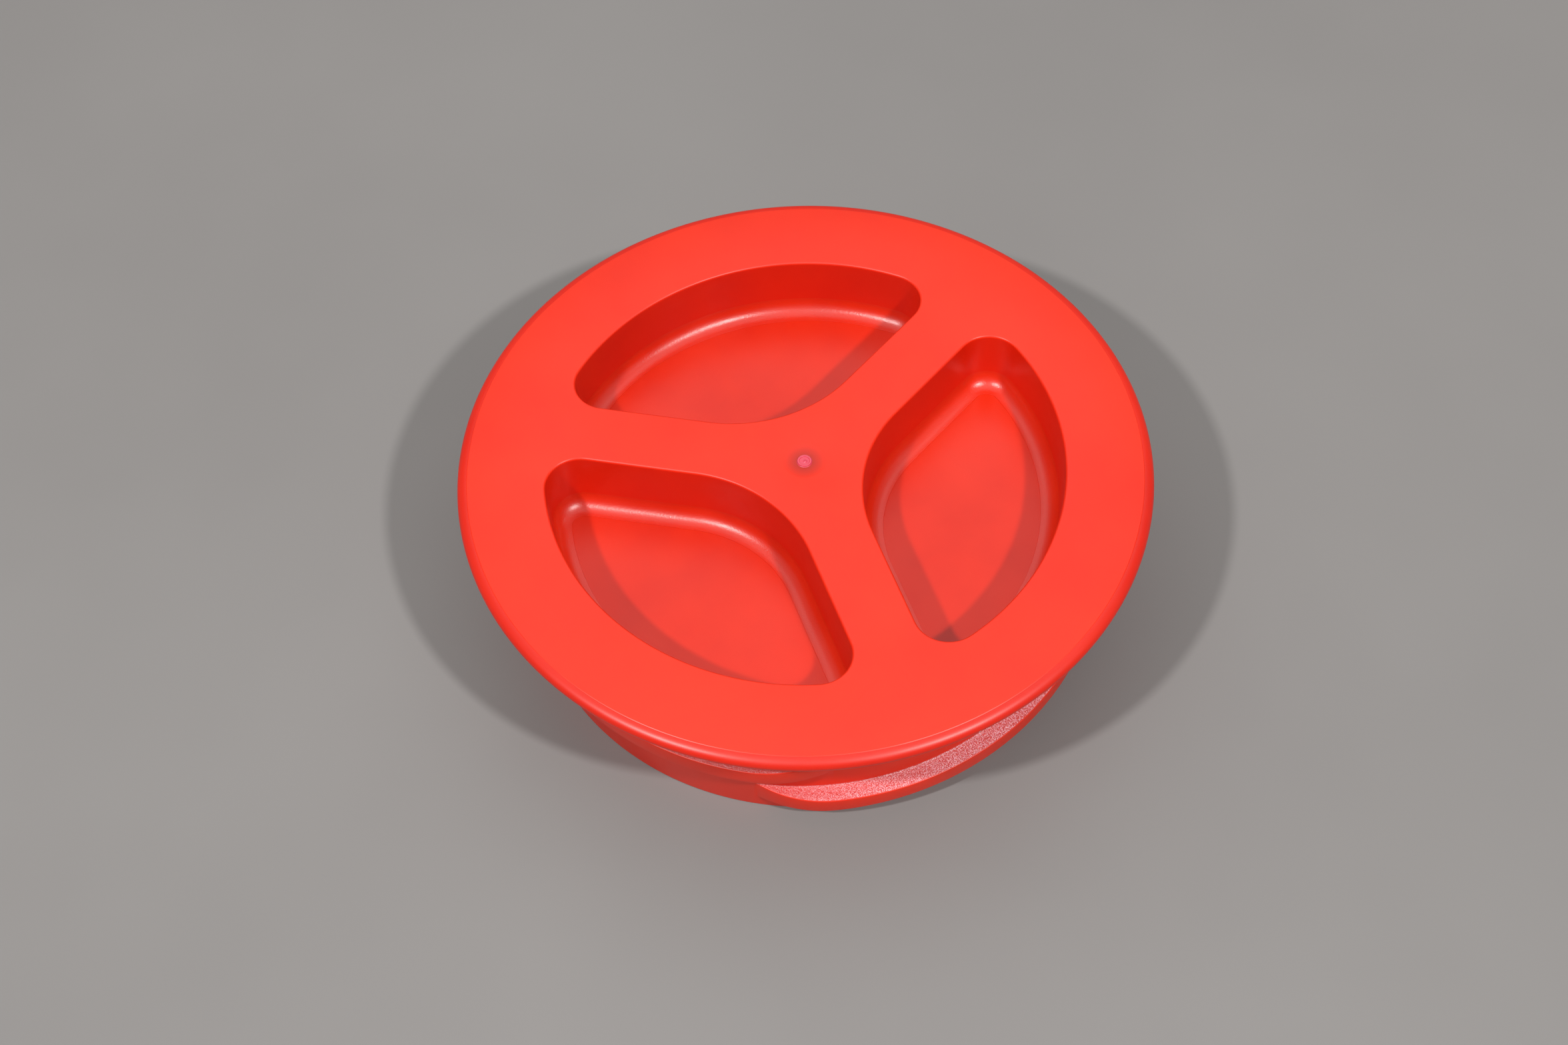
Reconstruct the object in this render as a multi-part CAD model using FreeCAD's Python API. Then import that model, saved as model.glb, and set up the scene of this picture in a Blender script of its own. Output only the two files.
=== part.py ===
import FreeCAD, Part
import math
import os

# Screw-in closure plug, millimetres. The origin is the centre of the skirt's lower rim, +Z points up
# through the flange, and one arm of the Y-shaped grip points along +Y.

# ---- driving dimensions ----
HEIGHT = 41.0
WALL = 2.4

FLANGE_RADIUS = 75.0
FLANGE_THICKNESS = 3.6
NOSE_DEPTH = 2.7            # radial depth of the flange's rounded edge
NOSE_DROP = 0.08            # the crown of the rounded edge lies this far below the flat top
RIM_STEP_RADIUS = 72.7      # where the flat top ends in a fine step down to the rounded edge
RIM_STEP_RUN = 0.17

NECK_RADIUS = 62.3
BASE_EDGE_RADIUS = 0.4

WELL_DEPTH = 15.0
WELL_OUTER_RADIUS = 56.1    # the wells' outer walls lie on one circle about the axis
BAR_WIDTH = 14.3            # across each arm of the grip
WELL_HUB_RADIUS = 31.9      # round of a well's inner end, where two arms meet
WELL_CORNER_RADIUS = 7.2
WELL_DRAFT = 0.75           # how much the wall leans in over the well's depth
WELL_FOOT_RADIUS = 3.6
WELL_LIP_RADIUS = 0.55
FLOOR_STEP = 0.12           # the floor is let in this deep inside the foot radius
FLOOR_STEP_MARGIN = 0.08    # from the end of the foot radius to that step
WELL_ANGLES = (30.0, 150.0, 270.0)

THREAD_RADIUS = 66.0
THREAD_LEAD = 11.5
THREAD_TURN = 375.0         # degrees from the foot of the lead-in to the foot of the run-out
THREAD_START_ANGLE = 300.0
THREAD_START_HEIGHT = 6.5   # of the thread's middle
THREAD_CREST_WIDTH = 4.1
THREAD_ROOT_WIDTH = 5.4
THREAD_SINK = 0.8           # how far the thread's root is buried in the skirt
THREAD_OVERRUN = 2.0        # degrees swept past each foot, inside the skirt's wall
RAMP_TURN = 15.5            # degrees over which each end rises from the skirt to the full thread

GATE_DIMPLE_RADIUS = 4.8
GATE_DIMPLE_DEPTH = 0.4
GATE_STUB_RADIUS = 1.55
GATE_STUB_DROP = 0.05       # the stub is cut off this far below the flat top
GATE_STUB_ROOT = 1.0        # how far down the stub is modelled, into the flange
GATE_CUP_RADIUS = 1.1
GATE_CUP_DEPTH = 0.15
GATE_PEAK_RADIUS = 0.45
GATE_PEAK_TIP_RADIUS = 0.15
GATE_PEAK_OFFSET = 0.35

SEAL_THICKNESS = 2.5
SEAL_OUTER_RADIUS = 70.0
SEAL_GRIP_GAP = 0.08        # running fit on the neck
SEAL_FLANGE_GAP = 0.1
SEAL_EDGE_RADIUS = 0.5

NEAR = 0.01                 # edges this close to a height count as lying at it
CLEAR = 1.0                 # how far a cutting body runs past what it cuts

AXIS = FreeCAD.Vector(0, 0, 1)
ORIGIN = FreeCAD.Vector(0, 0, 0)
FLANGE_UNDERSIDE = HEIGHT - FLANGE_THICKNESS
HALF_ARM_ANGLE = math.radians(60.0)     # from a well's centre line to the arm beside it


def vec(x, y, z):
    return FreeCAD.Vector(x, y, z)


def unit(vector):
    return vector / vector.Length


def disc(radius, low, high):
    return Part.makeCylinder(radius, high - low, vec(0, 0, low))


def revolved(edges):
    """A solid of revolution about Z, from edges in the XZ plane that run round a closed outline."""
    face = Part.Face(Part.Wire(edges))
    return face.revolve(ORIGIN, AXIS, 360)


def line(start, end):
    return Part.makeLine(vec(*start), vec(*end))


def flange():
    """Flat disc with an elliptical nose. The nose starts at a fine step, a little out from its own crown."""
    half = (HEIGHT - NOSE_DROP - FLANGE_UNDERSIDE) / 2
    centre = vec(FLANGE_RADIUS - NOSE_DEPTH, 0, FLANGE_UNDERSIDE + half)
    ellipse = Part.Ellipse(centre + vec(NOSE_DEPTH, 0, 0), centre + vec(0, 0, half), centre)
    start_turn = math.acos((RIM_STEP_RADIUS + RIM_STEP_RUN - centre.x) / NOSE_DEPTH)
    nose = Part.Arc(ellipse, -math.pi / 2, start_turn).toShape()
    low, high = sorted((v.Point for v in nose.Vertexes), key=lambda point: point.z)
    edges = [
        line((0, 0, HEIGHT), (RIM_STEP_RADIUS, 0, HEIGHT)),
        line((RIM_STEP_RADIUS, 0, HEIGHT), tuple(high)),
        nose,
        line(tuple(low), (0, 0, FLANGE_UNDERSIDE)),
        line((0, 0, FLANGE_UNDERSIDE), (0, 0, HEIGHT)),
    ]
    return revolved(edges)


def skirt():
    tube = disc(NECK_RADIUS, 0, FLANGE_UNDERSIDE).cut(disc(NECK_RADIUS - WALL, 0, FLANGE_UNDERSIDE))
    rim_edges = [edge for edge in tube.Edges if edge.BoundBox.ZMax < NEAR]
    return tube.makeFillet(BASE_EDGE_RADIUS, rim_edges)


def well_outline(outer_radius, bar_width, hub_radius, corner_radius, z):
    """Outline of one well with its centre line on +X.

    An arc about the axis closes the outer end, two straight sides run beside the grip's arms, a wide round
    joins them at the hub and a small round turns each outer corner.
    """
    half_bar = bar_width / 2
    along = vec(math.cos(HALF_ARM_ANGLE), math.sin(HALF_ARM_ANGLE), 0)
    inward = vec(math.sin(HALF_ARM_ANGLE), -math.cos(HALF_ARM_ANGLE), 0)
    hub_x = (half_bar + hub_radius) / math.sin(HALF_ARM_ANGLE)
    corner_run = math.sqrt((outer_radius - corner_radius) ** 2 - (half_bar + corner_radius) ** 2)
    corner = inward * (half_bar + corner_radius) + along * corner_run
    corner_out = corner + unit(corner) * corner_radius
    corner_side = corner - inward * corner_radius
    corner_mid = corner + unit(unit(corner) - inward) * corner_radius
    hub_side = inward * half_bar + along * (hub_x * math.cos(HALF_ARM_ANGLE))
    hub_end = vec(hub_x - hub_radius, 0, 0)

    def upper(point):
        return vec(point.x, point.y, z)

    def lower(point):
        return vec(point.x, -point.y, z)

    edges = [
        Part.Arc(lower(corner_out), vec(outer_radius, 0, z), upper(corner_out)).toShape(),
        Part.Arc(upper(corner_out), upper(corner_mid), upper(corner_side)).toShape(),
        Part.makeLine(upper(corner_side), upper(hub_side)),
        Part.Arc(upper(hub_side), upper(hub_end), lower(hub_side)).toShape(),
        Part.makeLine(lower(hub_side), lower(corner_side)),
        Part.Arc(lower(corner_side), lower(corner_mid), lower(corner_out)).toShape(),
    ]
    return Part.Wire(edges)


def shrunk_outline(inset, z, outer_radius=WELL_OUTER_RADIUS):
    """The well's outline moved inwards by inset, or outwards where inset is negative."""
    return well_outline(outer_radius - inset, BAR_WIDTH + 2 * inset, WELL_HUB_RADIUS - inset,
                        WELL_CORNER_RADIUS - inset, z)


def drafted_pocket(top_inset, top_z, floor_inset, floor_z, foot_radius, outer_radius=WELL_OUTER_RADIUS):
    pocket = Part.makeLoft([shrunk_outline(top_inset, top_z, outer_radius),
                            shrunk_outline(floor_inset, floor_z, outer_radius)], True, True)
    foot_edges = [edge for edge in pocket.Edges if edge.BoundBox.ZMax < floor_z + NEAR]
    return pocket.makeFillet(foot_radius, foot_edges)


def well_cavity():
    """The finger space: drafted walls, a rounded foot and a floor let in by a fine step."""
    floor_z = HEIGHT - WELL_DEPTH
    cavity = drafted_pocket(0, HEIGHT, WELL_DRAFT, floor_z, WELL_FOOT_RADIUS)
    step_inset = WELL_DRAFT + WELL_FOOT_RADIUS + FLOOR_STEP_MARGIN
    floor_face = Part.Face(shrunk_outline(step_inset, floor_z - FLOOR_STEP))
    return cavity.fuse(floor_face.extrude(AXIS * (2 * FLOOR_STEP)))


def well_shell():
    """The wall round a finger space. Its outer end runs on into the middle of the skirt's wall."""
    top_z = HEIGHT - FLANGE_THICKNESS / 2
    top_inset = WELL_DRAFT * (HEIGHT - top_z) / WELL_DEPTH - WALL
    outer_radius_without_inset = NECK_RADIUS - WALL / 2 - WALL
    return drafted_pocket(top_inset, top_z, WELL_DRAFT - WALL, HEIGHT - WELL_DEPTH - WALL,
                          WELL_FOOT_RADIUS, outer_radius_without_inset)


def ramp_cutter(foot_angle, side, height):
    """What is cut away to round an end of the thread: the outside of a pillar that touches the crest circle
    from within. Side is +1 where the thread runs on to larger angles, and -1 where it comes from smaller ones."""
    offset = ((THREAD_RADIUS ** 2 - NECK_RADIUS ** 2) / 2
              / (THREAD_RADIUS - NECK_RADIUS * math.cos(math.radians(RAMP_TURN))))
    reach = THREAD_RADIUS + WALL
    room = THREAD_LEAD / 2
    block = Part.makeBox(reach, reach, 2 * room, vec(0, -reach if side > 0 else 0, height - room))
    pillar = Part.makeCylinder(THREAD_RADIUS - offset, 4 * room, vec(offset, 0, height - 2 * room))
    cutter = block.cut(pillar)
    cutter.rotate(ORIGIN, AXIS, foot_angle + side * RAMP_TURN)
    return cutter


def thread():
    """Right-hand single-start thread with 10 degree flanks and a rounded rise at each end."""
    root_radius = NECK_RADIUS - THREAD_SINK
    flank = (THREAD_ROOT_WIDTH - THREAD_CREST_WIDTH) / 2 / (THREAD_RADIUS - NECK_RADIUS)
    buried_width = THREAD_ROOT_WIDTH + 2 * flank * THREAD_SINK
    rise_per_degree = THREAD_LEAD / 360
    sweep_turn = THREAD_TURN + 2 * THREAD_OVERRUN
    helix = Part.makeHelix(THREAD_LEAD, rise_per_degree * sweep_turn, root_radius)
    corners = [
        vec(root_radius, 0, -buried_width / 2),
        vec(THREAD_RADIUS, 0, -THREAD_CREST_WIDTH / 2),
        vec(THREAD_RADIUS, 0, THREAD_CREST_WIDTH / 2),
        vec(root_radius, 0, buried_width / 2),
    ]
    profile = Part.makePolygon(corners + corners[:1])
    sweep = Part.BRepOffsetAPI.MakePipeShell(Part.Wire(helix))
    sweep.setFrenetMode(True)
    sweep.add(profile)
    sweep.build()
    sweep.makeSolid()
    ridge = sweep.shape()
    ridge.rotate(ORIGIN, AXIS, THREAD_START_ANGLE - THREAD_OVERRUN)
    ridge.translate(AXIS * (THREAD_START_HEIGHT - rise_per_degree * THREAD_OVERRUN))
    finish_height = THREAD_START_HEIGHT + rise_per_degree * THREAD_TURN
    ridge = ridge.cut(ramp_cutter(THREAD_START_ANGLE, 1, THREAD_START_HEIGHT))
    return ridge.cut(ramp_cutter(THREAD_START_ANGLE + THREAD_TURN, -1, finish_height))


def gate_dimple():
    """A shallow dish at the hub, as the piece of a ball that dips below the top face."""
    ball_radius = (GATE_DIMPLE_RADIUS ** 2 + GATE_DIMPLE_DEPTH ** 2) / (2 * GATE_DIMPLE_DEPTH)
    ball = Part.makeSphere(ball_radius, vec(0, 0, HEIGHT + ball_radius - GATE_DIMPLE_DEPTH))
    return ball.common(disc(GATE_DIMPLE_RADIUS + CLEAR, HEIGHT - CLEAR, HEIGHT + CLEAR))


def gate_stub():
    """The cut-off sprue: a cupped stub with a small torn peak beside its centre."""
    top = HEIGHT - GATE_STUB_DROP
    stub = disc(GATE_STUB_RADIUS, HEIGHT - GATE_STUB_ROOT, top)
    cup_floor = top - GATE_CUP_DEPTH
    stub = stub.cut(disc(GATE_CUP_RADIUS, cup_floor, top))
    peak = Part.makeCone(GATE_PEAK_RADIUS, GATE_PEAK_TIP_RADIUS, GATE_CUP_DEPTH,
                         vec(GATE_PEAK_OFFSET, 0, cup_floor))
    return stub.fuse(peak)


def turned(shape, angle):
    copy = shape.copy()
    copy.rotate(ORIGIN, AXIS, angle)
    return copy


def is_well_lip(edge):
    """An edge of the top face that lies inside the circle of the wells' outer walls."""
    box = edge.BoundBox
    farthest = max(abs(box.XMin), abs(box.XMax), abs(box.YMin), abs(box.YMax))
    return box.ZMin > HEIGHT - NEAR and farthest < (WELL_OUTER_RADIUS + RIM_STEP_RADIUS) / 2


def plug_moulding():
    shells = [turned(well_shell(), angle) for angle in WELL_ANGLES]
    body = flange().fuse([skirt(), thread()] + shells)
    for angle in WELL_ANGLES:
        body = body.cut(turned(well_cavity(), angle))
    body = body.makeFillet(WELL_LIP_RADIUS, [edge for edge in body.Edges if is_well_lip(edge)])
    body = body.cut(gate_dimple())
    return body.fuse(gate_stub()).removeSplitter()


def face_seal():
    """Flat elastomer ring that sits on the neck, against the flange's underside."""
    high = FLANGE_UNDERSIDE - SEAL_FLANGE_GAP
    low = high - SEAL_THICKNESS
    ring = disc(SEAL_OUTER_RADIUS, low, high).cut(disc(NECK_RADIUS + SEAL_GRIP_GAP, low, high))
    round_edges = [edge for edge in ring.Edges if isinstance(edge.Curve, Part.Circle)]
    return ring.makeFillet(SEAL_EDGE_RADIUS, round_edges)


def main():
    os.makedirs("parts", exist_ok=True)
    nodes = {"plug_moulding": plug_moulding(), "face_seal": face_seal()}
    for name, shape in nodes.items():
        box = shape.BoundBox
        print(name, "valid", shape.isValid(), "solids", len(shape.Solids), "volume", round(shape.Volume),
              "box", [round(v, 2) for v in (box.XMin, box.YMin, box.ZMin, box.XMax, box.YMax, box.ZMax)])
        solid = shape.Solids[0] if len(shape.Solids) == 1 else shape
        solid.exportStep("parts/" + name + ".step")


main()
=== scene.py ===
import math

import bmesh
import bpy
from mathutils import Matrix, Vector


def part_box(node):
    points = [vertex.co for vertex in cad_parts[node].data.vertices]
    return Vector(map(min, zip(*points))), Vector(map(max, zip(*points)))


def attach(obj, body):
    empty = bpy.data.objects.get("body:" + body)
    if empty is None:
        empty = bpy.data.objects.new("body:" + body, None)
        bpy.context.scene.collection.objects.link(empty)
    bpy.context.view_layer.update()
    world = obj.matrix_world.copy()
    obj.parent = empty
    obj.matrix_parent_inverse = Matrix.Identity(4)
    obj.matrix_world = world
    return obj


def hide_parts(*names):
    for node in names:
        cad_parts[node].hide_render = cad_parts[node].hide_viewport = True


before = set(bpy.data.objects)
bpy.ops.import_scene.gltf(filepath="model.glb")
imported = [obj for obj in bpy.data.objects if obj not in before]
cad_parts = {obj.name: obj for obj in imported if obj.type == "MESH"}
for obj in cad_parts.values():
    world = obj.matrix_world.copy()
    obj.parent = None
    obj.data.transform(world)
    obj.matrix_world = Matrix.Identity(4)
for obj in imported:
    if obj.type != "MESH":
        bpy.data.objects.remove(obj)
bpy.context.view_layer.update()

# Screw-in closure plug in the CAD frame: the origin is the centre of the skirt's lower rim, +Z runs up the axis
# and one arm of the Y-shaped grip points along +Y. Sizes are in millimetres until a mesh is made.

MM = 0.001
TAU = 2 * math.pi

# ---- sizes shared with the CAD, in millimetres ----
_, PLUG_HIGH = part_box("plug_moulding")
SEAL_LOW, SEAL_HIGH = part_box("face_seal")
HEIGHT = round(PLUG_HIGH.z / MM, 3)
FLANGE_RADIUS = round(PLUG_HIGH.x / MM, 2)
FLANGE_THICKNESS = 3.6
FLANGE_UNDERSIDE = HEIGHT - FLANGE_THICKNESS
WALL = 2.4
NOSE_DEPTH = 2.7
NOSE_DROP = 0.08
RIM_STEP_RADIUS = 72.7
RIM_STEP_RUN = 0.17
NECK_RADIUS = 62.3
BASE_EDGE_RADIUS = 0.4
WELL_DEPTH = 15.0
WELL_OUTER_RADIUS = 56.1
BAR_WIDTH = 14.3
WELL_HUB_RADIUS = 31.9
WELL_CORNER_RADIUS = 7.2
WELL_DRAFT = 0.75
WELL_FOOT_RADIUS = 3.6
WELL_LIP_RADIUS = 0.55
FLOOR_STEP = 0.12
FLOOR_STEP_MARGIN = 0.08
WELL_ANGLES = (30.0, 150.0, 270.0)
THREAD_RADIUS = 66.0
THREAD_LEAD = 11.5
THREAD_TURN = 375
THREAD_START_ANGLE = 300.0
THREAD_START_HEIGHT = 6.5
THREAD_CREST_WIDTH = 4.1
THREAD_ROOT_WIDTH = 5.4
THREAD_EDGE_RADIUS = 0.3
RAMP_TURN = 15.5
GATE_DIMPLE_RADIUS = 4.8
GATE_DIMPLE_DEPTH = 0.4
GATE_STUB_RADIUS = 1.55
GATE_STUB_DROP = 0.05
GATE_CUP_RADIUS = 1.1
GATE_CUP_DEPTH = 0.15
SEAL_GRIP_GAP = 0.08
SEAL_EDGE_RADIUS = 0.5

# ---- detail that only the visible skins have, in millimetres ----
RIM_STEP_ROUND = (0.03, 0.008)          # how far the flat top's edge is eased outwards and down
FLOOR_STEP_EASE = (0.03, 0.05)          # the step's run at its middle and at its foot
GATE_STUB_FOOT = 0.12                   # the dimple ends this far from the stub
GATE_STUB_LEAN = 0.03                   # the stub is this much wider at its foot
GATE_STUB_EDGE = 0.05                   # the eased edges of the stub and of its cup are this deep or wide
GATE_STUB_EDGE_RUN = 0.06
GATE_CUP_FLOOR_RADIUS = 0.62
# rings of the torn peak: radius, rise over the cup's floor, shift along +X
GATE_PEAK_RINGS = ((0.42, 0.02, 0.18), (0.3, 0.12, 0.24), (0.16, 0.17, 0.27))
LEAST_RISE = 0.02                       # of the thread at its very end
PARTING_LINE_DEPTH = 0.06
PARTING_LINE_HALF_WIDTH = 0.18

# ---- what a face of the moulding is: its index in the list of materials ----
SMOOTH, FLOOR, FOOT, GRAIN, GATE, WALL_SIDE, DIMPLE = range(7)

# ---- how finely rounds are drawn ----
COLUMNS = 360                           # of the flange, the skirt and the seal: one to a degree
GATE_COLUMNS = 72
ARC_STEPS, CORNER_STEPS, SIDE_STEPS, HUB_STEPS = 72, 14, 10, 44
LIP_STEPS, FOOT_STEPS, NOSE_STEPS, DISH_STEPS = 8, 14, 32, 8
THREAD_EDGE_STEPS, BASE_EDGE_STEPS, SEAL_EDGE_STEPS, SHELL_FOOT_STEPS = 4, 5, 8, 8
MERGE_DISTANCE = 1e-6                   # metres
RIM_LEVEL = 1e-7                        # metres: what is no higher than this lies in the lower rim's plane


# ================= mesh helpers =================

class Shell:
    """Vertices and faces of one piece, with a material index for each face. Points are given in millimetres and
    kept in metres."""

    def __init__(self):
        self.points = []
        self.faces = []
        self.kinds = []

    def add(self, x, y, z):
        self.points.append((x * MM, y * MM, z * MM))
        return len(self.points) - 1

    def face(self, corners, kind):
        self.faces.append(tuple(corners))
        self.kinds.append(kind)

    def band(self, upper, lower, kind):
        """Quads between two closed rings of equal count."""
        count = len(upper)
        for i in range(count):
            j = (i + 1) % count
            self.face((upper[i], lower[i], lower[j], upper[j]), kind)

    def object(self, name, materials, sharp_angle):
        """The finished object. Edges that turn by more than sharp_angle degrees are sharp."""
        mesh = bpy.data.meshes.new(name)
        mesh.from_pydata(self.points, [], self.faces)
        for material in materials:
            mesh.materials.append(material)
        mesh.polygons.foreach_set("material_index", self.kinds)
        tidy_mesh(mesh)
        mesh.set_sharp_from_angle(angle=math.radians(sharp_angle))
        made = bpy.data.objects.new(name, mesh)
        bpy.context.scene.collection.objects.link(made)
        return made


def tidy_mesh(mesh):
    """Merges the seams between parts of one skin, turns its faces outwards and shades it smooth."""
    bm = bmesh.new()
    bm.from_mesh(mesh)
    bmesh.ops.remove_doubles(bm, verts=bm.verts, dist=MERGE_DISTANCE)
    bmesh.ops.recalc_face_normals(bm, faces=bm.faces)
    for face in bm.faces:
        face.smooth = True
    bm.to_mesh(mesh)
    bm.free()
    mesh.update()


def arc(centre, radius, start, end, steps):
    """Points of an arc in a plane, angles in degrees."""
    turn = [math.radians(start + (end - start) * i / steps) for i in range(steps + 1)]
    return [(centre[0] + radius * math.cos(a), centre[1] + radius * math.sin(a)) for a in turn]


def revolved(shell, profile, columns, kinds):
    """Rings about Z through the (r, z) points of a profile, with one kind for each band. Returns the rings."""
    turns = [TAU * i / columns for i in range(columns)]
    rings = [[shell.add(r * math.cos(a), r * math.sin(a), z) for a in turns] for r, z in profile]
    for upper, lower, kind in zip(rings, rings[1:], kinds):
        shell.band(upper, lower, kind)
    return rings


# ================= finger wells =================

HALF_ARM = math.radians(60.0)
ALONG = (math.cos(HALF_ARM), math.sin(HALF_ARM))
INWARD = (math.sin(HALF_ARM), -math.cos(HALF_ARM))
WALL_SLOPE = WELL_DRAFT / WELL_DEPTH
WALL_LEAN = math.atan(WALL_SLOPE)


def between(start, end, part):
    """The point that lies this part of the way from start to end, in a plane."""
    return tuple(start[k] + (end[k] - start[k]) * part for k in (0, 1))


def well_ring(inset, angle, outer_radius=WELL_OUTER_RADIUS):
    """The outline of a well moved inwards by inset, as (x, y) points that keep their count and order."""
    outer = outer_radius - inset
    half_bar = BAR_WIDTH / 2 + inset
    hub = WELL_HUB_RADIUS - inset
    round_ = WELL_CORNER_RADIUS - inset
    hub_x = (half_bar + hub) / math.sin(HALF_ARM)
    run = math.sqrt((outer - round_) ** 2 - (half_bar + round_) ** 2)
    corner = tuple(INWARD[k] * (half_bar + round_) + ALONG[k] * run for k in (0, 1))
    corner_turn = math.degrees(math.atan2(corner[1], corner[0]))
    side_turn = math.degrees(math.atan2(-INWARD[1], -INWARD[0]))
    half = arc((0, 0), outer, 0, corner_turn, ARC_STEPS // 2)
    half += arc(corner, round_, corner_turn, side_turn, CORNER_STEPS)[1:]
    side_start = half[-1]
    hub_start = arc((hub_x, 0), hub, side_turn, side_turn, 1)[0]
    half += [between(side_start, hub_start, i / SIDE_STEPS) for i in range(1, SIDE_STEPS)]
    half += arc((hub_x, 0), hub, side_turn, 180, HUB_STEPS // 2)
    ring = half + [(x, -y) for x, y in reversed(half[1:-1])]
    c, s = math.cos(math.radians(angle)), math.sin(math.radians(angle))
    return [(x * c - y * s, x * s + y * c) for x, y in ring]


def well_profile():
    """(inset, z, kind of the band below) down a well: lip, drafted wall, foot round, fine step, floor."""
    lean = math.degrees(WALL_LEAN)
    cosine, sine = math.cos(WALL_LEAN), math.sin(WALL_LEAN)
    floor_z = HEIGHT - WELL_DEPTH
    lip_z = HEIGHT - WELL_LIP_RADIUS
    lip_wall_z = lip_z + sine * WELL_LIP_RADIUS
    lip_centre = (WALL_SLOPE * (HEIGHT - lip_wall_z) - cosine * WELL_LIP_RADIUS, lip_z)
    foot_z = floor_z + WELL_FOOT_RADIUS
    foot_wall_z = foot_z - sine * WELL_FOOT_RADIUS
    foot_centre = (WALL_SLOPE * (HEIGHT - foot_wall_z) + cosine * WELL_FOOT_RADIUS, foot_z)
    lip = arc(lip_centre, WELL_LIP_RADIUS, 90, lean, LIP_STEPS)
    foot = arc(foot_centre, WELL_FOOT_RADIUS, 180 + lean, 270, FOOT_STEPS)
    wall = [between(lip[-1], foot[0], part) for part in (0.25, 0.5, 0.75)]
    step = WELL_DRAFT + WELL_FOOT_RADIUS + FLOOR_STEP_MARGIN
    step_points = [(step, floor_z), (step + FLOOR_STEP_EASE[0], floor_z - FLOOR_STEP * 0.3),
                   (step + FLOOR_STEP_EASE[1], floor_z - FLOOR_STEP)]
    rows = [(p, SMOOTH) for p in lip[:-1]]
    # the wells' walls wear the darker wall red: painted shade
    rows += [(p, WALL_SIDE) for p in lip[-1:] + wall]
    rows += [(p, FOOT) for p in foot + step_points]
    return rows


def wells(shell):
    """The three wells' skins. Returns the lip rings, which the top face is filled up to."""
    lips = []
    rows = well_profile()
    for angle in WELL_ANGLES:
        rings = [[shell.add(x, y, z) for x, y in well_ring(inset, angle)] for (inset, z), _ in rows]
        for i in range(len(rings) - 1):
            shell.band(rings[i], rings[i + 1], rows[i][1])
        shell.face(rings[-1], FLOOR)
        lips.append(rings[0])
    return lips


# ================= flange, gate and top face =================

def nose_profile():
    """(r, z) from the fine rim step, round the flange's edge, to its underside."""
    half = (HEIGHT - NOSE_DROP - FLANGE_UNDERSIDE) / 2
    centre = (FLANGE_RADIUS - NOSE_DEPTH, FLANGE_UNDERSIDE + half)
    start = math.acos((RIM_STEP_RADIUS + RIM_STEP_RUN - centre[0]) / NOSE_DEPTH)
    points = [(RIM_STEP_RADIUS, HEIGHT), (RIM_STEP_RADIUS + RIM_STEP_ROUND[0], HEIGHT - RIM_STEP_ROUND[1])]
    for i in range(NOSE_STEPS + 1):
        a = start - (start + math.pi / 2) * i / NOSE_STEPS
        points.append((centre[0] + NOSE_DEPTH * math.cos(a), centre[1] + half * math.sin(a)))
    return points


def gate_profile():
    """(r, z) from the dimple's edge in to the stub's cup."""
    ball = (GATE_DIMPLE_RADIUS ** 2 + GATE_DIMPLE_DEPTH ** 2) / (2 * GATE_DIMPLE_DEPTH)
    centre_z = HEIGHT + ball - GATE_DIMPLE_DEPTH

    def dish(r):
        return centre_z - math.sqrt(ball ** 2 - r ** 2)

    stub_top = HEIGHT - GATE_STUB_DROP
    cup_floor = stub_top - GATE_CUP_DEPTH
    foot = GATE_STUB_RADIUS + GATE_STUB_FOOT
    radii = [GATE_DIMPLE_RADIUS - (GATE_DIMPLE_RADIUS - foot) * i / DISH_STEPS for i in range(DISH_STEPS + 1)]
    points = [(r, dish(r)) for r in radii]
    points += [(GATE_STUB_RADIUS + GATE_STUB_LEAN, dish(foot) + GATE_STUB_EDGE),
               (GATE_STUB_RADIUS, stub_top - GATE_STUB_EDGE_RUN),
               (GATE_STUB_RADIUS - GATE_STUB_EDGE, stub_top),
               (GATE_CUP_RADIUS + GATE_STUB_EDGE_RUN, stub_top),
               (GATE_CUP_RADIUS, stub_top - GATE_STUB_EDGE),
               (GATE_CUP_RADIUS - GATE_STUB_EDGE, cup_floor),
               (GATE_CUP_FLOOR_RADIUS, cup_floor)]
    return points


def gate(shell):
    """The dimple and the cut-off stub, with a torn peak a little off its centre. Returns the dimple's edge."""
    profile = gate_profile()
    rings = revolved(shell, profile, GATE_COLUMNS, [DIMPLE] * DISH_STEPS + [GATE] * (len(profile) - DISH_STEPS))
    cup_floor = profile[-1][1]
    turns = [TAU * i / GATE_COLUMNS for i in range(GATE_COLUMNS)]
    inner = rings[-1]
    for radius, rise, shift in GATE_PEAK_RINGS:
        ring = [shell.add(shift + radius * math.cos(a), radius * math.sin(a), cup_floor + rise) for a in turns]
        shell.band(inner, ring, GATE)
        inner = ring
    shell.face(inner, GATE)
    return rings[0]


def top_face(shell, outer, holes):
    """Fills the flat top between the rim and the edges of the wells and the dimple."""
    bm = bmesh.new()
    made = {}
    for ring in [outer] + holes:
        verts = [bm.verts.new(shell.points[i]) for i in ring]
        for vert, index in zip(verts, ring):
            made[vert] = index
        for i, vert in enumerate(verts):
            bm.edges.new((vert, verts[(i + 1) % len(verts)]))
    bmesh.ops.triangle_fill(bm, use_beauty=True, use_dissolve=False, edges=bm.edges[:])
    for face in bm.faces:
        shell.face([made[v] for v in face.verts], SMOOTH)
    bm.free()


# ================= skirt and thread =================

START = math.radians(THREAD_START_ANGLE)
# the columns of the skirt and of the hollow are counted from the thread's foot
COLUMN_ANGLES = [START + TAU * i / COLUMNS for i in range(COLUMNS)]


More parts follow.
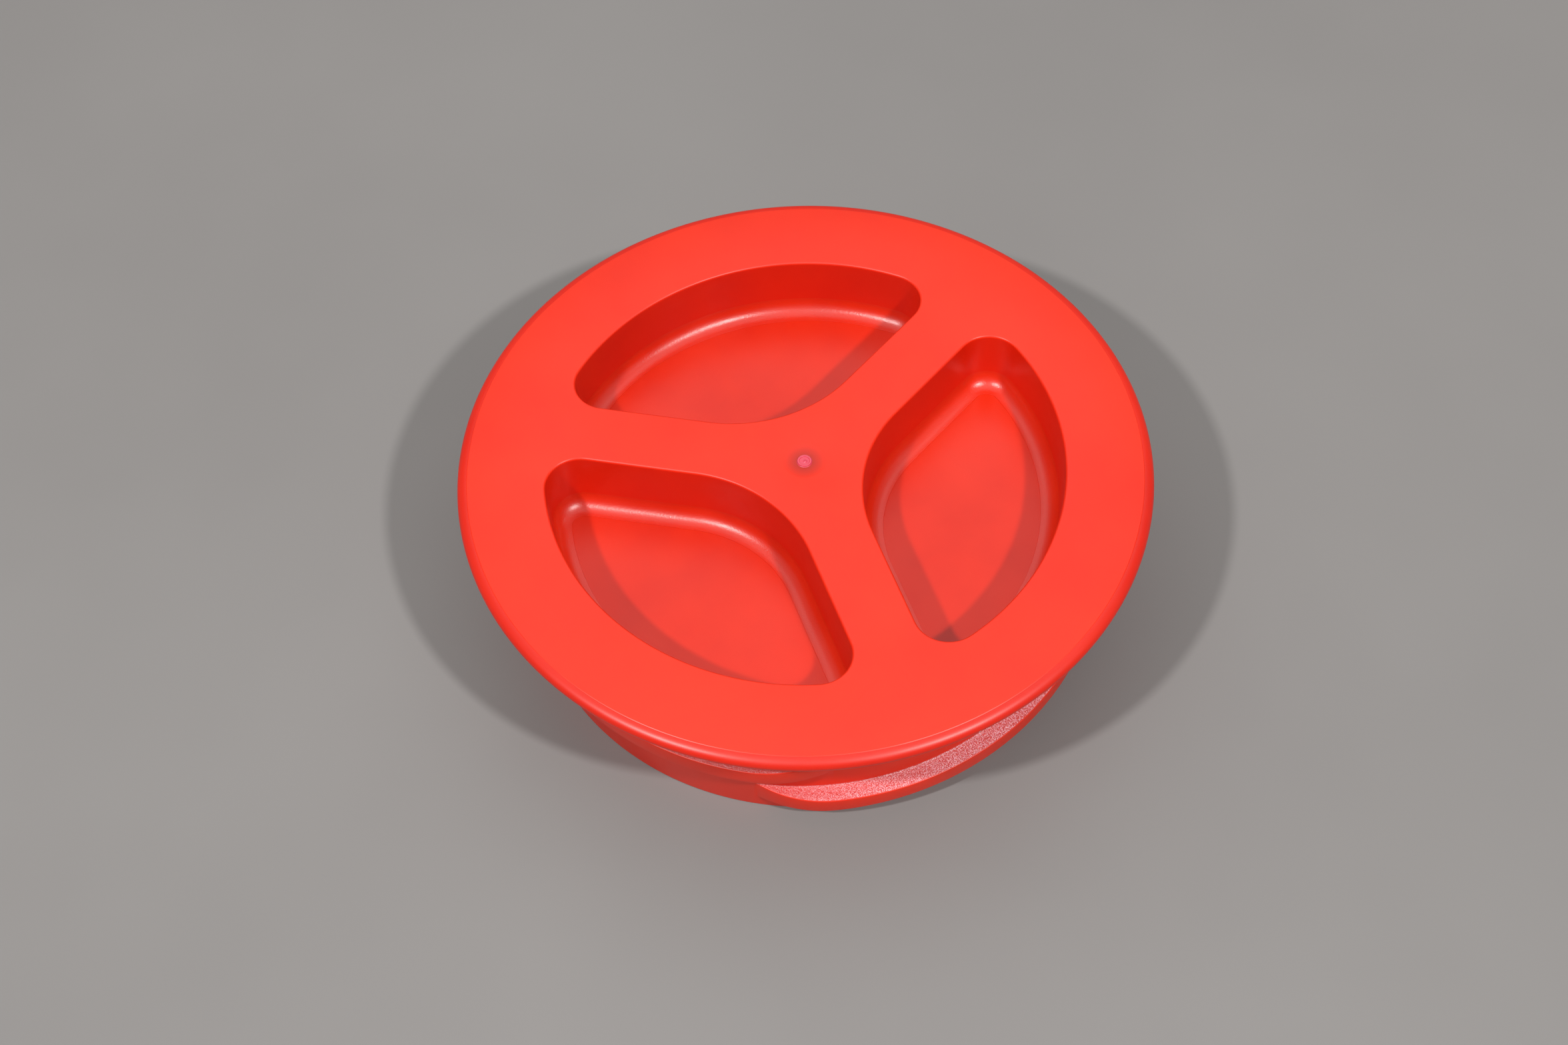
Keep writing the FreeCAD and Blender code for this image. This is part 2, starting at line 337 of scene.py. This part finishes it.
def thread_height(turned):
    """How far the thread stands off the skirt, at degrees turned from the foot of its lead-in. Each end is an
    arc in plan that leaves the skirt at a crease and meets the crest circle smoothly."""
    from_end = min(turned, THREAD_TURN - turned)
    if from_end >= RAMP_TURN:
        return THREAD_RADIUS - NECK_RADIUS
    offset = ((THREAD_RADIUS ** 2 - NECK_RADIUS ** 2) / 2
              / (THREAD_RADIUS - NECK_RADIUS * math.cos(math.radians(RAMP_TURN))))
    angle = math.radians(RAMP_TURN - from_end)
    reach = offset * math.cos(angle) + math.sqrt((THREAD_RADIUS - offset) ** 2 - (offset * math.sin(angle)) ** 2)
    return max(reach - NECK_RADIUS, LEAST_RISE)


def thread_section(turned):
    """(r, z) points across the thread from its lower root to its upper root, with rounded edges."""
    high = thread_height(turned)
    middle = THREAD_START_HEIGHT + THREAD_LEAD * turned / 360
    flank = (THREAD_ROOT_WIDTH - THREAD_CREST_WIDTH) / 2 / (THREAD_RADIUS - NECK_RADIUS)
    root = THREAD_ROOT_WIDTH / 2
    crest = root - flank * high
    edge = min(THREAD_EDGE_RADIUS, 0.4 * high)
    lean = math.degrees(math.atan(flank))
    slack = edge * math.tan(math.radians((90 - lean) / 2))
    half = [(NECK_RADIUS, root + slack)]
    half += arc((NECK_RADIUS + edge, root + slack), edge, 180, 270 - lean, THREAD_EDGE_STEPS)[1:]
    half += [(NECK_RADIUS + high / 2, root - flank * high / 2)]
    half += arc((NECK_RADIUS + high - edge, crest - slack), edge, 90 - lean, 0, THREAD_EDGE_STEPS)
    lower = [(r, middle - z) for r, z in half]
    upper = [(r, middle + z) for r, z in reversed(half)]
    return lower + upper


SECTION = len(thread_section(THREAD_TURN / 2))


def skirt_column(shell, degree, base_edge):
    """One column of the skirt's outside, bottom to top, as (key, vertex, kind above). A key says which pass of the
    thread a point is on, early or late, and its place in the thread's section."""
    a = START + math.radians(degree)
    rows = [(("base", i), r, z, SMOOTH) for i, (r, z) in enumerate(base_edge)]
    for turned in (degree, degree + 360):
        if turned > THREAD_TURN:
            continue
        name = "late" if turned >= 360 else "early"
        for i, (r, z) in enumerate(thread_section(turned)):
            upper_flank = SECTION // 2 + THREAD_EDGE_STEPS <= i < SECTION - 1
            rows.append(((name, i), r, z, GRAIN if upper_flank else SMOOTH))
    rows.append((("top", 0), NECK_RADIUS, FLANGE_UNDERSIDE, SMOOTH))
    return [(key, shell.add(r * math.cos(a), r * math.sin(a), z), kind) for key, r, z, kind in rows]


def one_turn_on(key):
    """A point's key as the column before it has it, where the columns close: the late pass carries on the early
    one, and the early pass, which starts here, has no neighbour."""
    part, place = key
    return {"late": ("early", place), "early": ("gone", place)}.get(part, key)


def stitch(shell, left, right, right_keys):
    """Faces between two columns. Points that only one of them has become extra corners of the faces."""
    right_at = {key: i for i, key in enumerate(right_keys)}
    shared = [(i, right_at[key]) for i, (key, _, _) in enumerate(left) if key in right_at]
    for (l0, r0), (l1, r1) in zip(shared, shared[1:]):
        a = [left[i][1] for i in range(l0, l1 + 1)]
        b = [right[i][1] for i in range(r0, r1 + 1)]
        shell.face(a[::-1] + b, left[l0][2])


def skirt(shell):
    """The skirt's outside with its thread. Returns the rings at its foot and under the flange."""
    base_edge = arc((NECK_RADIUS - BASE_EDGE_RADIUS, BASE_EDGE_RADIUS), BASE_EDGE_RADIUS, -90, 0, BASE_EDGE_STEPS)
    columns = [skirt_column(shell, degree, base_edge) for degree in range(COLUMNS)]
    for left, right in zip(columns, columns[1:]):
        stitch(shell, left, right, [row[0] for row in right])
    stitch(shell, columns[-1], columns[0], [one_turn_on(row[0]) for row in columns[0]])
    return [column[0][1] for column in columns], [column[-1][1] for column in columns]


# ================= inside of the moulding =================

def closed_solid(rings, name):
    """A closed mesh through rings of equal count, capped at both ends."""
    points = [p for ring in rings for p in ring]
    count = len(rings[0])
    faces = [tuple(range(count)), tuple(range(len(points) - 1, len(points) - count - 1, -1))]
    for row in range(len(rings) - 1):
        for i in range(count):
            j = (i + 1) % count
            faces.append((row * count + i, (row + 1) * count + i, (row + 1) * count + j, row * count + j))
    mesh = bpy.data.meshes.new(name)
    mesh.from_pydata([(x * MM, y * MM, z * MM) for x, y, z in points], [], faces)
    tidy_mesh(mesh)
    made = bpy.data.objects.new(name, mesh)
    bpy.context.scene.collection.objects.link(made)
    return made


def shell_solid(angle):
    """The outside of one well's wall, as a solid that runs up past the hollow's roof."""
    outer = NECK_RADIUS - WALL / 2 - WALL
    floor_z = HEIGHT - WELL_DEPTH - WALL
    foot = WELL_FOOT_RADIUS
    wall_z = floor_z + foot * (1 - math.sin(WALL_LEAN))
    floor_inset = WELL_DRAFT - WALL
    centre = (floor_inset - WALL_SLOPE * (wall_z - floor_z) + math.cos(WALL_LEAN) * foot, floor_z + foot)
    top = HEIGHT + 1.0
    profile = [(floor_inset - WALL_SLOPE * (top - floor_z), top)]
    profile += arc(centre, foot, 180 + math.degrees(WALL_LEAN), 270, SHELL_FOOT_STEPS)
    rings = [[(x, y, z) for x, y in well_ring(inset, angle, outer)] for inset, z in profile]
    return closed_solid(rings, f"shell_{round(angle)}")


def hollow(shell):
    """The skin of the hollow underside: a round space less the wells' walls, without its open bottom."""
    inner = NECK_RADIUS - WALL
    edge = arc((inner + BASE_EDGE_RADIUS, BASE_EDGE_RADIUS), BASE_EDGE_RADIUS, 270, 180, BASE_EDGE_STEPS)
    profile = edge + [(inner, FLANGE_UNDERSIDE)]
    rings = [[(r * math.cos(a), r * math.sin(a), z) for a in COLUMN_ANGLES] for r, z in profile]
    space = closed_solid(rings, "hollow")
    for angle in WELL_ANGLES:
        tool = shell_solid(angle)
        cut = space.modifiers.new("cut", "BOOLEAN")
        cut.operation, cut.solver, cut.object = "DIFFERENCE", "EXACT", tool
        evaluated = space.evaluated_get(bpy.context.evaluated_depsgraph_get())
        space.data = bpy.data.meshes.new_from_object(evaluated)
        space.modifiers.clear()
        bpy.data.objects.remove(tool)
    offset = len(shell.points)
    mesh = space.data
    shell.points += [tuple(v.co) for v in mesh.vertices]
    for polygon in mesh.polygons:
        if max(mesh.vertices[i].co.z for i in polygon.vertices) > RIM_LEVEL:
            shell.face([offset + i for i in polygon.vertices], SMOOTH)
    bpy.data.objects.remove(space)


# ================= pieces =================

SHARP_MOULDING, SHARP_SEAL = 24, 40     # edges that turn by more degrees than this are drawn sharp


def plug_moulding(materials):
    """The whole moulding as one closed skin."""
    shell = Shell()
    lips = wells(shell)
    nose = nose_profile()
    # below the fine step the flange nose wears the darker wall red: painted shade on its downward curve
    rim = revolved(shell, nose, COLUMNS, [SMOOTH] * 2 + [WALL_SIDE] * (len(nose) - 2))
    top_face(shell, rim[0], lips + [gate(shell)])
    foot, neck = skirt(shell)
    shift = round(THREAD_START_ANGLE * COLUMNS / 360)
    under = [rim[-1][(i + shift) % COLUMNS] for i in range(COLUMNS)]
    shell.band(under, neck, SMOOTH)
    inner_foot = NECK_RADIUS - WALL + BASE_EDGE_RADIUS
    inside = [shell.add(inner_foot * math.cos(a), inner_foot * math.sin(a), 0.0) for a in COLUMN_ANGLES]
    shell.band(foot, inside, SMOOTH)
    hollow(shell)
    return shell.object("plug_moulding_skin", materials, SHARP_MOULDING)


def seal_ring(material):
    """The face seal: a flat ring with rounded edges and a fine parting line round its outside."""
    low, high = SEAL_LOW.z / MM, SEAL_HIGH.z / MM
    outer = SEAL_HIGH.x / MM
    inner = NECK_RADIUS + SEAL_GRIP_GAP
    edge = SEAL_EDGE_RADIUS
    middle = (low + high) / 2
    profile = arc((outer - edge, high - edge), edge, 90, 0, SEAL_EDGE_STEPS)
    profile += [(outer, middle + PARTING_LINE_HALF_WIDTH), (outer - PARTING_LINE_DEPTH, middle),
                (outer, middle - PARTING_LINE_HALF_WIDTH)]
    profile += arc((outer - edge, low + edge), edge, 0, -90, SEAL_EDGE_STEPS)
    profile += arc((inner + edge, low + edge), edge, 270, 180, SEAL_EDGE_STEPS)
    profile += arc((inner + edge, high - edge), edge, 180, 90, SEAL_EDGE_STEPS)
    shell = Shell()
    rings = revolved(shell, profile, COLUMNS, [0] * len(profile))
    shell.band(rings[-1], rings[0], 0)
    return shell.object("face_seal_ring", [material], SHARP_SEAL)


# ================= materials =================

class Nodes:
    """Short calls for a material's node tree. Textures are placed by the object's own metres, so a scale of 1000
    makes grains of about a millimetre."""

    def __init__(self, name):
        self.material = bpy.data.materials.new(name)
        self.material.use_nodes = True
        self.tree = self.material.node_tree
        self.shader = self.tree.nodes["Principled BSDF"]
        self.place = self.tree.nodes.new("ShaderNodeTexCoord").outputs["Object"]
        mapping = self.tree.nodes.new("ShaderNodeMapping")
        mapping.inputs["Location"].default_value = (0.31, 0.17, 0.05)
        self.tree.links.new(self.place, mapping.inputs["Vector"])
        self.shifted = mapping.outputs["Vector"]

    def node(self, kind, **settings):
        made = self.tree.nodes.new(kind)
        for key, value in settings.items():
            setattr(made, key, value)
        return made

    def link(self, source, target):
        self.tree.links.new(source, target)

    def feed(self, socket, value):
        if hasattr(value, "is_linked"):
            self.link(value, socket)
        else:
            socket.default_value = value

    def noise(self, scale, detail=3.0, roughness=0.5, place=None):
        made = self.node("ShaderNodeTexNoise")
        self.link(place or self.place, made.inputs["Vector"])
        made.inputs["Scale"].default_value = scale
        made.inputs["Detail"].default_value = detail
        made.inputs["Roughness"].default_value = roughness
        return made.outputs["Fac"]

    def cells(self, scale):
        made = self.node("ShaderNodeTexVoronoi")
        self.link(self.place, made.inputs["Vector"])
        made.inputs["Scale"].default_value = scale
        return made

    def spread(self, value, low, high, to_low=0.0, to_high=1.0):
        made = self.node("ShaderNodeMapRange", clamp=True)
        self.link(value, made.inputs["Value"])
        for name, number in (("From Min", low), ("From Max", high), ("To Min", to_low), ("To Max", to_high)):
            made.inputs[name].default_value = number
        return made.outputs["Result"]

    def maths(self, operation, a, b):
        made = self.node("ShaderNodeMath", operation=operation)
        self.feed(made.inputs[0], a)
        self.feed(made.inputs[1], b)
        return made.outputs[0]

    def vectors(self, operation, a, b=None):
        made = self.node("ShaderNodeVectorMath", operation=operation)
        self.feed(made.inputs[0], a)
        if b is not None:
            self.feed(made.inputs[1], b)
        return made

    def mix(self, factor, a, b):
        made = self.node("ShaderNodeMix", data_type="RGBA")
        self.feed(made.inputs["Factor"], factor)
        self.feed(made.inputs["A"], a)
        self.feed(made.inputs["B"], b)
        return made.outputs["Result"]

    def bump(self, height, strength, distance, normal=None):
        made = self.node("ShaderNodeBump")
        made.inputs["Strength"].default_value = strength
        made.inputs["Distance"].default_value = distance
        self.link(height, made.inputs["Height"])
        if normal is not None:
            self.link(normal, made.inputs["Normal"])
        return made.outputs["Normal"]

    def set(self, **values):
        for name, value in values.items():
            self.feed(self.shader.inputs[name.replace("_", " ")], value)


def speck_mask(n, scale, share, size):
    """Sparse small round specks: one in so many cells, none in the rest."""
    cells = n.cells(scale)
    near = n.spread(cells.outputs["Distance"], size * 0.6, size, 1.0, 0.0)
    pick = n.node("ShaderNodeSeparateColor")
    n.link(cells.outputs["Color"], pick.inputs[0])
    chosen = n.maths("GREATER_THAN", pick.outputs[0], 1.0 - share)
    return n.maths("MULTIPLY", near, chosen)


def scratch_mask(n, turn, scale):
    """Fine straight marks in one direction, broken up into short lengths."""
    turned = n.node("ShaderNodeMapping")
    turned.inputs["Rotation"].default_value = (0, 0, math.radians(turn))
    turned.inputs["Scale"].default_value = (scale, scale * 0.02, scale * 0.2)
    n.link(n.place, turned.inputs["Vector"])
    lines = n.noise(1.0, 2.0, 0.5, turned.outputs["Vector"])
    thin = n.spread(lines, 0.70, 0.74)
    patches = n.spread(n.noise(38.0, 2.0), 0.56, 0.66)
    return n.maths("MULTIPLY", thin, patches)


# ---- reds of the moulding ----
DEEP, LIGHT = (0.66, 0.015, 0.001, 1), (0.74, 0.022, 0.002, 1)
# darker copy of the red for the wells' floors and feet: painted shade in the recesses
SHADED_WELL_DEEP, SHADED_WELL_LIGHT = (0.53, 0.012, 0.001, 1), (0.62, 0.019, 0.002, 1)
# darker copy for the wells' walls and the flange nose's downward curve: painted shade
SHADED_WALL_DEEP, SHADED_WALL_LIGHT = (0.56, 0.009, 0.001, 1), (0.63, 0.013, 0.001, 1)
GRAIN_DEEP, GRAIN_LIGHT = (0.52, 0.012, 0.006, 1), (0.62, 0.02, 0.01, 1)
GATE_DEEP, GATE_LIGHT = (0.50, 0.012, 0.035, 1), (0.66, 0.05, 0.10, 1)
# darker red near the gate: painted shade in the dimple, together with the gate's flow-mark halo
DIMPLE_SHADE_AND_HALO = (0.40, 0.014, 0.006, 1)
DUST = (0.75, 0.55, 0.5, 1)
# pale pink of the painted sheen on the grained thread flank
PAINTED_SHEEN_PINK = (0.86, 0.40, 0.43, 1)
# pale colour of the painted glints: a painted highlight
PAINTED_GLINT = (0.96, 0.52, 0.58, 1)
PAINTED_GLINT_SIDE = math.radians(-16)          # the painted glints, a painted highlight, lie on the grained flank round this angle about the axis
GRAIN_DEPTH = 0.00012


def red_plastic(name, deep, light, roughness, grain=0.0, painted_sheen=0.0, sparkle=0.0, shine=0.5, centre=None):
    """Moulded plastic: a mottled red, satin gloss that varies, faint handling marks and dust. Grain roughens it;
    with the sheen amount, grain also gets a painted sheen of pale pink patches, and that amount paints pale glints
    on one side about the axis: painted highlights. Sparkle gives glints by lower roughness, and centre is a darker
    red that it takes on near the axis: painted shade in the gate's dimple, together with its flow-mark halo."""
    n = Nodes(name)
    cloud = n.spread(n.noise(22.0, 4.0, 0.55), 0.32, 0.68)
    colour = n.mix(cloud, deep, light)
    flow = n.spread(n.noise(90.0, 3.0), 0.35, 0.7, 0.0, 0.35)
    colour = n.mix(flow, colour, light)
    # darker towards the axis: painted shade in the gate's dimple, partly its flow-mark halo
    if centre:
        flat = n.vectors("MULTIPLY", n.place, (1, 1, 0)).outputs["Vector"]
        from_axis = n.vectors("LENGTH", flat).outputs["Value"]
        far = n.spread(from_axis, GATE_STUB_RADIUS * MM, GATE_DIMPLE_RADIUS * MM * 0.95)
        colour = n.mix(far, centre, colour)
    dust = speck_mask(n, 260.0, 0.006, 0.1)
    colour = n.mix(dust, colour, DUST)
    marks = n.maths("MAXIMUM", scratch_mask(n, 23, 900.0), scratch_mask(n, -51, 1100.0))
    rough = n.spread(n.noise(60.0, 4.0, 0.6), 0.3, 0.7, roughness - 0.04, roughness + 0.05)
    rough = n.maths("ADD", rough, n.maths("MULTIPLY", marks, 0.12))
    fine = n.noise(3200.0, 2.0, 0.6)
    normal = n.bump(fine, 0.12, 0.00004)
    normal = n.bump(marks, 0.15, 0.00002, normal)
    if grain:
        coarse = n.noise(2600.0, 3.0, 0.6)
        normal = n.bump(coarse, grain, GRAIN_DEPTH, normal)
        # painted sheen: pale pink patches over the grain stand in for the lamps' sheen on it
        sheen_mask = n.spread(n.noise(3600.0, 4.0, 0.7, n.shifted), 0.40, 0.70, 0.0, painted_sheen)
        colour = n.mix(sheen_mask, colour, PAINTED_SHEEN_PINK)
    if painted_sheen:
        # painted highlight: pale glints on the side of the grained flank round the set angle about the axis, fixed
        # on the object
        side = (math.cos(PAINTED_GLINT_SIDE), math.sin(PAINTED_GLINT_SIDE), 0)
        facing = n.vectors("DOT_PRODUCT", n.place, side).outputs["Value"]
        glint_side_mask = n.spread(facing, 0.048, 0.064, 0.0, 0.8)
        glint_spots = n.spread(n.noise(3800.0, 2.0, 0.6, n.shifted), 0.46, 0.60)
        colour = n.mix(n.maths("MULTIPLY", glint_spots, glint_side_mask), colour, PAINTED_GLINT)
    if sparkle:
        glints = speck_mask(n, 1500.0, 0.22, 0.35)
        rough = n.maths("SUBTRACT", rough, n.maths("MULTIPLY", glints, sparkle))
    n.set(Base_Color=colour, Roughness=rough, Normal=normal, IOR=1.49, Specular_IOR_Level=shine,
          Subsurface_Weight=0.25, Subsurface_Radius=(1.0, 0.12, 0.06), Subsurface_Scale=0.0022)
    return n.material


def rubber(name):
    """Black rubber with a dull bloom and a little dust."""
    n = Nodes(name)
    bloom = n.spread(n.noise(45.0, 5.0, 0.6), 0.42, 0.75)
    colour = n.mix(bloom, (0.012, 0.012, 0.013, 1), (0.035, 0.034, 0.034, 1))
    dust = speck_mask(n, 420.0, 0.02, 0.12)
    colour = n.mix(dust, colour, (0.25, 0.24, 0.23, 1))
    rough = n.spread(n.noise(80.0, 3.0), 0.3, 0.7, 0.62, 0.78)
    normal = n.bump(n.noise(2600.0, 3.0, 0.6), 0.25, 0.00006)
    n.set(Base_Color=colour, Roughness=rough, Normal=normal)
    return n.material


def floor_paint(name):
    """Pale grey, slightly clouded."""
    n = Nodes(name)
    cloud = n.spread(n.noise(5.0, 4.0, 0.55), 0.3, 0.7)
    colour = n.mix(cloud, (0.196, 0.189, 0.184, 1), (0.220, 0.213, 0.207, 1))
    rough = n.spread(n.noise(12.0, 3.0), 0.3, 0.7, 0.50, 0.60)
    n.set(Base_Color=colour, Roughness=rough, Specular_IOR_Level=0.3)
    return n.material


# ================= build =================

red = red_plastic("plug_red", DEEP, LIGHT, 0.40)
# in the order of the kinds of face
plug = plug_moulding([
    red,
    # the wells' floors and feet in the darker red: painted shade
    red_plastic("plug_red_well_floor_shaded", SHADED_WELL_DEEP, SHADED_WELL_LIGHT, 0.34),
    red_plastic("plug_red_well_foot_shaded", SHADED_WELL_DEEP, SHADED_WELL_LIGHT, 0.33, grain=0.30, shine=0.75),
    # the thread's grained upper flank, with a painted sheen and painted glints
    red_plastic("plug_red_grained_painted_sheen", GRAIN_DEEP, GRAIN_LIGHT, 0.34, grain=1.0, painted_sheen=0.42, sparkle=0.12,
                shine=0.8),
    red_plastic("plug_red_gate", GATE_DEEP, GATE_LIGHT, 0.32, grain=0.3, shine=0.9),
    # the wells' walls and the flange nose in the darker red: painted shade
    red_plastic("plug_red_shaded_wall_and_nose", SHADED_WALL_DEEP, SHADED_WALL_LIGHT, 0.38),
    red_plastic("plug_red_dimple_shade_and_halo", DEEP, LIGHT, 0.40, centre=DIMPLE_SHADE_AND_HALO),
])
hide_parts("plug_moulding")
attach(plug, "plug")

black = rubber("seal_rubber_black")
seal = seal_ring(black)
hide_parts("face_seal")
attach(seal, "seal")

# the CAD's own nodes, which the pieces above stand in for, wear the same materials
for node, material in (("plug_moulding", red), ("face_seal", black)):
    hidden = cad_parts[node]
    hidden.data.materials.clear()
    hidden.data.materials.append(material)

# ---- floor ----
HALF_FLOOR = 3.0
floor_mesh = bpy.data.meshes.new("floor")
corners = [(x * HALF_FLOOR, y * HALF_FLOOR, 0) for x, y in ((-1, -1), (1, -1), (1, 1), (-1, 1))]
floor_mesh.from_pydata(corners, [], [(0, 1, 2, 3)])
floor_mesh.materials.append(floor_paint("floor_paint"))
floor = bpy.data.objects.new("floor", floor_mesh)
bpy.context.scene.collection.objects.link(floor)

# ---- camera: metres and radians in the viewer's frame, which is the plug's own turned about Z ----
TURN = Matrix.Rotation(math.radians(41.2), 4, "Z")
CAMERA_BACK, CAMERA_HEIGHT = 0.305350, 0.454296
CAMERA_YAW, CAMERA_PITCH, CAMERA_ROLL = -0.01626198, 0.9602244, -0.0418232
LENS, SENSOR = 54.77, 36.0


def camera_matrix():
    """Where the camera stands and how it is turned, from its yaw, pitch and roll."""
    ahead = Vector((math.sin(CAMERA_YAW) * math.cos(CAMERA_PITCH),
                    math.cos(CAMERA_YAW) * math.cos(CAMERA_PITCH), -math.sin(CAMERA_PITCH)))
    level = Vector((math.cos(CAMERA_YAW), -math.sin(CAMERA_YAW), 0))
    over = level.cross(ahead)
    right = level * math.cos(CAMERA_ROLL) + over * math.sin(CAMERA_ROLL)
    up = over * math.cos(CAMERA_ROLL) - level * math.sin(CAMERA_ROLL)
    axes = Matrix((right, up, -ahead)).transposed().to_4x4()
    place = Matrix.Translation((0, -CAMERA_BACK, CAMERA_HEIGHT))
    return TURN @ place @ axes


camera_data = bpy.data.cameras.new("camera")
camera_data.lens = LENS
camera_data.sensor_width = SENSOR
camera_data.sensor_fit = "HORIZONTAL"
camera_data.clip_start, camera_data.clip_end = 0.01, 20
camera = bpy.data.objects.new("camera", camera_data)
camera.matrix_world = camera_matrix()
bpy.context.scene.collection.objects.link(camera)
bpy.context.scene.camera = camera


# ---- lights ----
def lamp(name, direction, distance, width, power, colour):
    """A disc lamp that faces the plug's middle from a direction in the viewer's frame."""
    data = bpy.data.lights.new(name, "AREA")
    data.shape = "DISK"
    data.size = width
    data.energy = power
    data.color = colour
    made = bpy.data.objects.new(name, data)
    away = (TURN @ Vector(direction)).normalized()
    target = Vector((0, 0, HEIGHT * MM / 2))
    made.location = target + away * distance
    made.rotation_mode = "QUATERNION"
    made.rotation_quaternion = away.to_track_quat("Z", "Y")
    bpy.context.scene.collection.objects.link(made)


WARM_WHITE, SOFT_WHITE = (1.0, 0.98, 0.97), (1.0, 0.99, 0.98)
lamp("left_lamp", (-0.56, -0.51, 1.0), distance=1.6, width=0.09, power=16.0, colour=WARM_WHITE)
lamp("right_lamp", (0.53, -0.59, 1.0), distance=1.6, width=0.09, power=16.5, colour=WARM_WHITE)
lamp("overhead", (0.0, 0.35, 1.0), distance=1.5, width=2.0, power=9.0, colour=SOFT_WHITE)

world = bpy.data.worlds.new("studio")
world.use_nodes = True
background = world.node_tree.nodes["Background"]
background.inputs["Color"].default_value = (1.0, 0.98, 0.96, 1)
background.inputs["Strength"].default_value = 0.27
bpy.context.scene.world = world
bpy.context.scene.view_settings.view_transform = "Standard"
